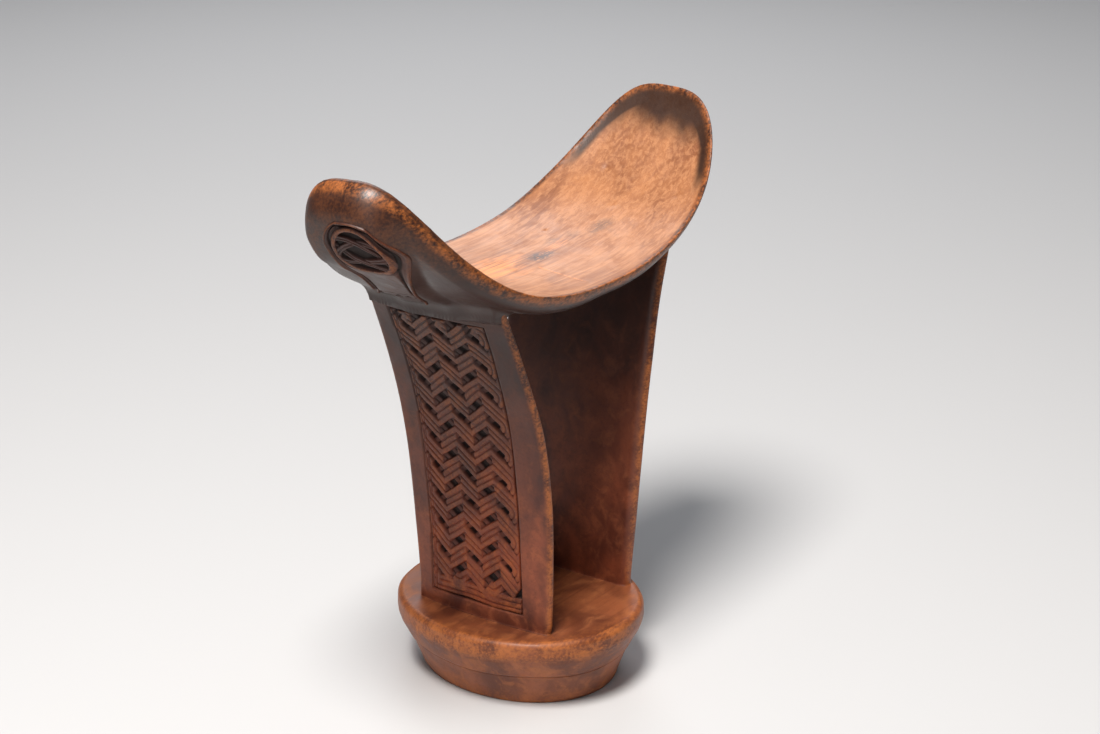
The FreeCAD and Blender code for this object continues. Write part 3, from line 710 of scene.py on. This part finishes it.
def plait_bands(height):
    """Straight stretches with their direction, and the turns between them."""
    left = FIRST_COLUMN - COLUMN_STEP
    right = FIRST_COLUMN + COLUMNS * COLUMN_STEP
    low, high = 4.6, height + 0.6
    slope = ROW_STEP / 2 / COLUMN_STEP
    stretches, turns = [], []
    reach = (right - left) * slope
    for direction in (1, -1):
        for k in range(-8, 24):
            level = k * ROW_STEP + low
            start_b = level if direction > 0 else level + reach
            start, stop = (left, start_b), (right, start_b + direction * reach)
            clipped = clipped_ends(start, stop, low, high)
            if len(clipped) < 2:
                continue
            (first, first_kind), (second, second_kind) = clipped
            dx, dy = second[0] - first[0], second[1] - first[1]
            length = math.hypot(dx, dy)
            if length < 4:
                continue
            unit = (dx / length, dy / length)
            angle = math.atan(slope)
            half_turn = {"side": math.pi / 2 - angle, "end": angle}
            cut_first = min(TURN_RADIUS * math.tan(half_turn[first_kind]), length / 2)
            cut_second = min(TURN_RADIUS * math.tan(half_turn[second_kind]), length / 2)
            begin = (first[0] + unit[0] * cut_first, first[1] + unit[1] * cut_first)
            finish = (second[0] - unit[0] * cut_second, second[1] - unit[1] * cut_second)
            stretches.append((direction, begin, finish))
            if direction > 0:
                for corner, kind in clipped:
                    turns.append(band_turn(corner, kind, left, low, angle))
    return stretches, turns


def strand_profile(w):
    """Height across a band: a low crown with two gouged grooves, and steep sides."""
    w = np.abs(w)
    crown = -0.10 * (w / BAND_HALF) ** 2 + groove(w - STRAND_GROOVE, 0.42, 0.42)
    wall = smooth((BAND_HALF - w) / 0.45)
    return crown, wall


def plait_relief(a, b, height):
    """Height of the carved plait over the panel; a runs across it and b up it."""
    relief = np.full(a.shape, -PIT_DEPTH)
    stretches, turns = plait_bands(height)
    column = (a - FIRST_COLUMN) / COLUMN_STEP
    nearest = np.clip(np.round(column), 0, COLUMNS - 1)
    reach = np.abs(column - nearest) * COLUMN_STEP
    under_here = 1 - smooth((reach - 2.5) / 1.7)
    for direction, begin, finish in stretches:
        w = segment_distance(a, b, begin, finish)
        crown, wall = strand_profile(w)
        under = (nearest % 2 == 0) if direction > 0 else (nearest % 2 == 1)
        dip = 0.75 * under_here * under
        relief = np.maximum(relief, -PIT_DEPTH + (crown - dip + PIT_DEPTH) * wall)
    for center_a, center_b, out_a, out_b, half in turns:
        da, db = a - center_a, b - center_b
        radius = np.hypot(da, db)
        toward = (da * out_a + db * out_b) / np.maximum(radius, 1e-6)
        inside = toward > math.cos(math.pi / 2 - half + 0.02)
        crown, wall = strand_profile(np.where(inside, radius - TURN_RADIUS, 99.0))
        relief = np.maximum(relief, -PIT_DEPTH + (crown + PIT_DEPTH) * wall)
    return relief


def plait(side, name, material):
    """A plait of three-strand bands, sunk into a post's outer face."""
    width, height = PANEL_FAR - PANEL_NEAR, PANEL_HIGH - PANEL_LOW
    inset = 0.06
    across = np.linspace(inset, width - inset, 176)[:, None]
    up = np.linspace(inset, height - inset, 470)[None, :]
    far_side = PANEL_FAR - across if side < 0 else across - PANEL_FAR
    y, z = np.broadcast_arrays(far_side, PANEL_LOW + up)
    a, b = np.broadcast_arrays(across, up)
    flat = stack(a, b, 0 * a)
    a = a + 0.42 * noise(flat, 11.0, 2.3) + 0.2 * noise(flat, 4.5, 5.1)
    b = b + 0.55 * noise(flat, 12.0, 8.9) + 0.25 * noise(flat, 5.0, 1.7)
    relief = plait_relief(a, b, height)
    floor_band = 2.9 - np.abs(b - 3.0)
    crown = groove(b - 2.0, 0.42, 0.45) + groove(b - 4.0, 0.42, 0.45)
    band = -PIT_DEPTH + (crown + PIT_DEPTH) * smooth(floor_band / 0.4)
    relief = np.where(floor_band > 0, np.maximum(relief, band), relief)
    edge = np.minimum(np.minimum(a, width - a), np.minimum(b, height - b))
    relief = relief + (-PIT_DEPTH * 0.85 - relief) * (1 - smooth((edge - 0.25) / 0.45))
    for line in (1.3, 2.3):
        relief = relief + groove(a - line, 0.3, 0.35)
    surface = stack(post_outer(side, y, z), y, z)
    surface = hand_cut(surface, POST_CUT)
    front = raise_relief(side, surface, relief + 0.07 * noise(surface, 1.7))
    back = raise_relief(side, surface, np.full_like(relief, -PANEL_DEPTH + 0.02))
    # depth in the pits, which the wood darkens with grime and painted shade
    hollow = np.clip((-relief - 0.15) / 1.2, 0, 1)
    worn = 0.35 * np.clip(1 + relief / 0.25, 0, 1)
    none = 0 * worn
    return shell(name, front, back, {"wear": (worn, none), "seat": (none, none),
                                     "hollow": (hollow, hollow)}, material)


# ------------------------------------------------------------------ base

BASE_SHIFT = -0.1  # the base's middle along X
BASE_HALF_X = BASE_HALF_Y - 4.5
BASE_ROUNDNESS = 2.05  # exponent of its outline
CAP_INSET = (BASE_HALF_X - 0.15, BASE_HALF_Y - 0.15)  # leaves a speck that closes a flat end


def oval_ring(half_x, half_y, z, columns=360):
    """A slightly squared oval at a height."""
    turn = np.linspace(0, 2 * math.pi, columns, endpoint=False)
    power = 2 / BASE_ROUNDNESS
    c, s = np.cos(turn), np.sin(turn)
    return stack(BASE_SHIFT + half_x * np.sign(c) * np.abs(c) ** power,
                 half_y * np.sign(s) * np.abs(s) ** power, z)


def oval_solid(name, profile, material):
    """A solid of ovals: profile rows are inset from the widest outline, height, and wear."""
    rings, wear = [], []
    for inset_x, inset_y, z, worn in profile:
        rings.append(oval_ring(BASE_HALF_X - inset_x, BASE_HALF_Y - inset_y, z))
        wear.append(np.full(len(rings[0]), worn))
    rings = np.array(rings)
    wear = np.array(wear)
    middle = np.array([BASE_SHIFT, 0, 0])
    centre_share = smooth((np.hypot(*(rings - middle)[..., :2].transpose(2, 0, 1)) - 2) / 20)
    flat_end = smooth((rings[..., 2] - 0.3) / 2.0) if profile[0][2] < 1 else 1.0
    cut = hand_cut(rings, BASE_CUT, 16.0) - rings
    cut[..., 2] *= 0.6
    rings = rings + cut * (centre_share * flat_end)[..., None]
    return loft(name, rings, {"wear": wear, "seat": 0 * wear, "hollow": 0 * wear}, material)


def path_rows(corners, step=0.5):
    """Rows along a profile through corners, with the spacing kept near step."""
    rows = [corners[0]]
    for first, second in zip(corners, corners[1:]):
        first, second = np.array(first, float), np.array(second, float)
        count = max(1, int(np.linalg.norm(second[:3] - first[:3]) / step))
        rows += [tuple(first + (second - first) * k / count) for k in range(1, count + 1)]
    return rows


def quarter(center_inset, center_z, radius, first, last, worn, steps=8):
    """Rows round a rounded edge, from angle first to angle last in degrees above the outside."""
    rows = []
    for k in range(steps + 1):
        angle = math.radians(first + (last - first) * k / steps)
        inset = center_inset - radius * math.cos(angle)
        rows.append((inset, inset, center_z + radius * math.sin(angle), worn))
    return rows


def foot(material):
    """The foot, tapering in to the ground."""
    profile = [(*CAP_INSET, 0.0, 0), (12.0, 11.0, 0.0, 0.2), (9.6, 8.4, 0.15, 0.8),
               (9.0, 7.8, 1.3, 0.7), (7.6, 6.6, 5.0, 0.1), (5.0, 4.6, FOOT_TOP - 0.6, 0),
               (4.8, 4.4, FOOT_TOP, 0.1), (*CAP_INSET, FOOT_TOP, 0)]
    return oval_solid("foot_carved", path_rows(profile), material)


def base_rim(material):
    """The rim of the base: a worn band over a face that leans in to the crease."""
    edge = 2.2  # radius of its upper edge
    profile = [(*CAP_INSET, FOOT_TOP, 0), (4.6, 4.4, FOOT_TOP, 0.1),
               (3.9, 3.7, FOOT_TOP + 0.7, 0.3), (1.0, 0.9, 17.6, 0.15), (0.2, 0.2, 19.6, 0.9),
               (0.0, 0.0, 20.8, 1.0), (0.1, 0.1, BASE_TOP - edge, 0.8)]
    rows = path_rows(profile) + quarter(edge + 0.1, BASE_TOP - edge, edge, 8, 88, 0.9)
    rows += path_rows([(edge + 0.4, edge + 0.4, BASE_TOP, 0.4), (8, 8, BASE_TOP, 0),
                       (*CAP_INSET, BASE_TOP, 0)], 1.0)
    return oval_solid("base_rim_carved", rows, material)


# ------------------------------------------------------------------ wood

class Nodes:
    """A short way to build a material's node tree."""

    def __init__(self, name):
        self.material = bpy.data.materials.new(name)
        self.material.use_nodes = True
        self.tree = self.material.node_tree
        self.shader = self.tree.nodes["Principled BSDF"]

    def add(self, kind, inputs=None, **settings):
        node = self.tree.nodes.new(kind)
        for key, value in settings.items():
            setattr(node, key, value)
        for key, value in (inputs or {}).items():
            if isinstance(value, bpy.types.NodeSocket):
                self.tree.links.new(value, node.inputs[key])
            else:
                node.inputs[key].default_value = value
        return node

    def attribute(self, label):
        return self.add("ShaderNodeAttribute", attribute_name=label).outputs["Fac"]

    def noise(self, size, detail=4.0, roughness=0.55, warp=0.0):
        """Noise whose lumps are size millimetres across, as (x, y, z)."""
        place = self.add("ShaderNodeTexCoord").outputs["Object"]
        scale = tuple(1 / (length * MM) for length in size)
        place = self.add("ShaderNodeMapping", {"Vector": place, "Scale": scale}).outputs[0]
        settings = {"Vector": place, "Scale": 1.0, "Detail": detail, "Roughness": roughness,
                    "Distortion": warp}
        return self.add("ShaderNodeTexNoise", settings).outputs["Fac"]

    def height(self, low, high):
        """0 below the height low and 1 above the height high, in millimetres."""
        place = self.add("ShaderNodeTexCoord").outputs["Object"]
        height = self.add("ShaderNodeSeparateXYZ", {"Vector": place}).outputs["Z"]
        return self.ramp(height, low * MM, high * MM)

    def ramp(self, value, low, high):
        """0 where value is low and 1 where it is high."""
        return self.add("ShaderNodeMapRange", {"Value": value, "From Min": low, "From Max": high},
                        interpolation_type="SMOOTHSTEP").outputs["Result"]

    def math(self, operation, first, second):
        return self.add("ShaderNodeMath", {0: first, 1: second}, operation=operation).outputs[0]

    def mix(self, share, first, second):
        node = self.add("ShaderNodeMix", data_type="RGBA")
        for index, value in ((0, share), (6, first), (7, second)):
            if isinstance(value, bpy.types.NodeSocket):
                self.tree.links.new(value, node.inputs[index])
            else:
                node.inputs[index].default_value = value
        return node.outputs[2]

    def link(self, socket, name):
        self.tree.links.new(socket, self.shader.inputs[name])


def rgb(red, green, blue):
    """A colour given as it looks on a screen, 0 to 255."""
    linear = [((c / 255 + 0.055) / 1.055) ** 2.4 if c > 10 else c / 255 / 12.92
              for c in (red, green, blue)]
    return (*linear, 1.0)


RUBBED_GOLD = rgb(190, 110, 52)
# grime and painted shade for the carved hollows
HOLLOW_GRIME_AND_SHADE = rgb(22, 9, 6)
# painted shade that darkens the upper parts, as the cradle shades them
SHADE_UNDER_CRADLE = rgb(36, 20, 16)
SHADE_UNDER_CRADLE_HEIGHTS = (40, 130)  # where the painted shade of the upper part begins, and where it is darkest
HONEY_DEEP = rgb(134, 82, 52)  # this and the colours below are of the bare wood of the seat, save the last, which is painted shade
HONEY = rgb(176, 118, 78)
HONEY_STREAK = rgb(200, 142, 100)
HONEY_PATCH = rgb(128, 74, 50)
HONEY_FIBRE = rgb(110, 62, 38)
SEAT_GLOW = rgb(226, 142, 76)
SEAT_STAIN = rgb(58, 56, 60)
# painted shade over the seat's right tip
SEAT_PAINTED_SHADE = rgb(38, 18, 10)


def wood(name, deep, body, pale, gloss):
    """Old handled hardwood with its grain along X: streaks, pores, blotches and wear, with grime and
    painted shade in its hollows, and painted shade towards the top and on the seat's right tip.
    """
    n = Nodes(name)
    wear, seat, hollow = n.attribute("wear"), n.attribute("seat"), n.attribute("hollow")
    stain, glow, painted_tip_shade = n.attribute("stain"), n.attribute("glow"), n.attribute("painted_tip_shade")
    streak = n.noise((34, 1.5, 1.5), 5.0, 0.6, 0.5)
    fibre = n.noise((12, 0.35, 0.35), 3.0, 0.55)
    cloud = n.noise((30, 20, 26), 3.0, 0.55, 0.8)
    patch = n.noise((8, 5, 6), 5.0, 0.62, 0.6)
    fleck = n.noise((1.5, 0.8, 0.8), 4.0, 0.65)

    def share(value, low, high, most):
        """A ramp that goes from 0 up to most."""
        return n.math("MULTIPLY", n.ramp(value, low, high), most)

    colour = n.mix(n.ramp(cloud, 0.3, 0.68), deep, body)
    colour = n.mix(share(patch, 0.45, 0.75, 0.5), colour, pale)
    colour = n.mix(share(streak, 0.46, 0.7, 0.35), colour, deep)
    colour = n.mix(share(fleck, 0.52, 0.75, 0.3), colour, deep)
    # painted shade: darker towards the top, as under the cradle
    colour = n.mix(n.math("MULTIPLY", n.height(*SHADE_UNDER_CRADLE_HEIGHTS), 0.82), colour, SHADE_UNDER_CRADLE)

    honey = n.mix(n.ramp(cloud, 0.3, 0.68), HONEY_DEEP, HONEY)
    honey = n.mix(share(streak, 0.4, 0.64, 0.55), honey, HONEY_STREAK)
    honey = n.mix(share(patch, 0.48, 0.72, 0.3), honey, HONEY_PATCH)
    honey = n.mix(share(fibre, 0.5, 0.7, 0.3), honey, HONEY_FIBRE)
    honey = n.mix(n.math("MULTIPLY", glow, n.ramp(streak, 0.34, 0.56)), honey, SEAT_GLOW)
    honey = n.mix(n.math("MULTIPLY", stain, share(fleck, 0.3, 0.55, 0.85)), honey, SEAT_STAIN)
    # painted shade over the seat's right tip and inside its rim
    honey = n.mix(n.math("MULTIPLY", painted_tip_shade, 0.94), honey, SEAT_PAINTED_SHADE)
    colour = n.mix(seat, colour, honey)

    speck = n.math("ADD", fleck, n.math("MULTIPLY", patch, 0.8))
    rubbed = n.math("MULTIPLY", wear, share(speck, 0.66, 1.2, 0.85))
    colour = n.mix(n.math("MULTIPLY", wear, 0.2), colour, deep)
    colour = n.mix(rubbed, colour, RUBBED_GOLD)
    # grime and painted shade darken the carved hollows
    grime_and_shade = n.ramp(hollow, 0.1, 1.0)
    colour = n.mix(n.math("MULTIPLY", grime_and_shade, 0.94), colour, HOLLOW_GRIME_AND_SHADE)
    n.link(colour, "Base Color")

    rough = n.add("ShaderNodeMapRange", {"Value": patch, "From Min": 0.3, "From Max": 0.75,
                                         "To Min": gloss, "To Max": gloss + 0.2}).outputs["Result"]
    rough = n.math("ADD", rough, n.math("MULTIPLY", grime_and_shade, 0.3))
    n.link(rough, "Roughness")
    n.shader.inputs["Specular IOR Level"].default_value = 0.4
    n.shader.inputs["Coat Weight"].default_value = 0.06
    n.shader.inputs["Coat Roughness"].default_value = 0.25

    height = n.math("ADD", n.math("MULTIPLY", streak, 0.4), n.math("MULTIPLY", fibre, 0.2))
    height = n.math("ADD", height, n.math("MULTIPLY", fleck, 0.3))
    bump = n.add("ShaderNodeBump", {"Height": height, "Strength": 0.3, "Distance": 0.3 * MM})
    n.link(bump.outputs[0], "Normal")
    return n.material


# ------------------------------------------------------------------ the headrest

seat_wood = wood("seat_wood", rgb(52, 26, 19), rgb(90, 48, 33), rgb(116, 64, 40), 0.34)
post_wood = wood("post_wood", rgb(80, 36, 24), rgb(138, 70, 44), rgb(170, 96, 60), 0.42)
carved_wood = wood("carved_wood", rgb(76, 28, 14), rgb(132, 56, 28), rgb(176, 86, 44), 0.44)
base_wood = wood("base_wood", rgb(96, 48, 30), rgb(156, 88, 54), rgb(190, 116, 70), 0.42)

place(cradle(seat_wood), "seat_wood", "head_cradle")
for end, label in ((-1, "left"), (1, "right")):
    place(keel_field(end, label + "_keel_carved", post_wood), "post_wood", label + "_keel")
    place(medallion(end, label + "_medallion_carved", carved_wood), "carved_wood", label + "_medallion")
    place(post(end, label + "_post_carved", post_wood), "post_wood", label + "_post")
    place(plait(end, label + "_plait_carved", carved_wood), "carved_wood", label + "_plait")
place(base_rim(base_wood), "base_wood", "base_rim")
place(foot(base_wood), "base_wood", "foot")


# ------------------------------------------------------------------ stage, light and camera

def stage_floor():
    """A wide plain floor."""
    size = 4.0  # from its middle to an edge, in metres
    corners = [(-size, -size, 0), (size, -size, 0), (size, size, 0), (-size, size, 0)]
    mesh = bpy.data.meshes.new("floor")
    mesh.from_pydata(corners, [], [(0, 1, 2, 3)])
    floor = bpy.data.objects.new("floor", mesh)
    bpy.context.scene.collection.objects.link(floor)
    paint = bpy.data.materials.new("floor_paint")
    paint.use_nodes = True
    shader = paint.node_tree.nodes["Principled BSDF"]
    shader.inputs["Base Color"].default_value = (0.62, 0.62, 0.63, 1)
    shader.inputs["Roughness"].default_value = 0.7
    mesh.materials.append(paint)


def soft_light(name, place_m, aim, size, power, colour=(1, 1, 1)):
    """A round soft light of a size in metres and a power in watts."""
    lamp = bpy.data.lights.new(name, "AREA")
    lamp.shape = "DISK"
    lamp.size = size
    lamp.energy = power
    lamp.color = colour
    holder = bpy.data.objects.new(name, lamp)
    holder.location = place_m
    holder.rotation_euler = (Vector(aim) - Vector(place_m)).to_track_quat("-Z", "Y").to_euler()
    bpy.context.scene.collection.objects.link(holder)


MIDDLE = (0.0, 0.0, 0.1)
stage_floor()
soft_light("key", (-0.42, -0.12, 1.1), MIDDLE, 0.4, 19, (1.0, 0.96, 0.91))
soft_light("fill", (-1.2, -0.5, 0.5), MIDDLE, 0.9, 2.2)
soft_light("rear", (0.9, 0.7, 0.9), MIDDLE, 0.8, 5, (0.95, 0.97, 1.0))

world = bpy.data.worlds.new("studio")
world.use_nodes = True
world.node_tree.nodes["Background"].inputs["Color"].default_value = (0.8, 0.82, 0.86, 1)
world.node_tree.nodes["Background"].inputs["Strength"].default_value = 0.15
bpy.context.scene.world = world

VIEW_AZIMUTH = math.radians(-55.13)  # the photo's viewing angle
VIEW_ELEVATION = math.radians(20.21)
VIEW_DISTANCE = 0.757
VIEW_ROLL = math.radians(0.37)
AIM = Vector((0.0322, 0.0111, 0.0920))
LENS = 74.3

back = Vector((math.sin(VIEW_AZIMUTH) * math.cos(VIEW_ELEVATION),
               -math.cos(VIEW_AZIMUTH) * math.cos(VIEW_ELEVATION), math.sin(VIEW_ELEVATION)))
lens = bpy.data.cameras.new("camera")
lens.lens = LENS
lens.sensor_width = 36
camera = bpy.data.objects.new("camera", lens)
camera.location = AIM + back * VIEW_DISTANCE
facing = (-back).to_track_quat("-Z", "Y")
camera.rotation_euler = (facing @ Quaternion((0, 0, 1), VIEW_ROLL)).to_euler()
bpy.context.scene.collection.objects.link(camera)
bpy.context.scene.camera = camera
bpy.context.scene.view_settings.view_transform = "Standard"
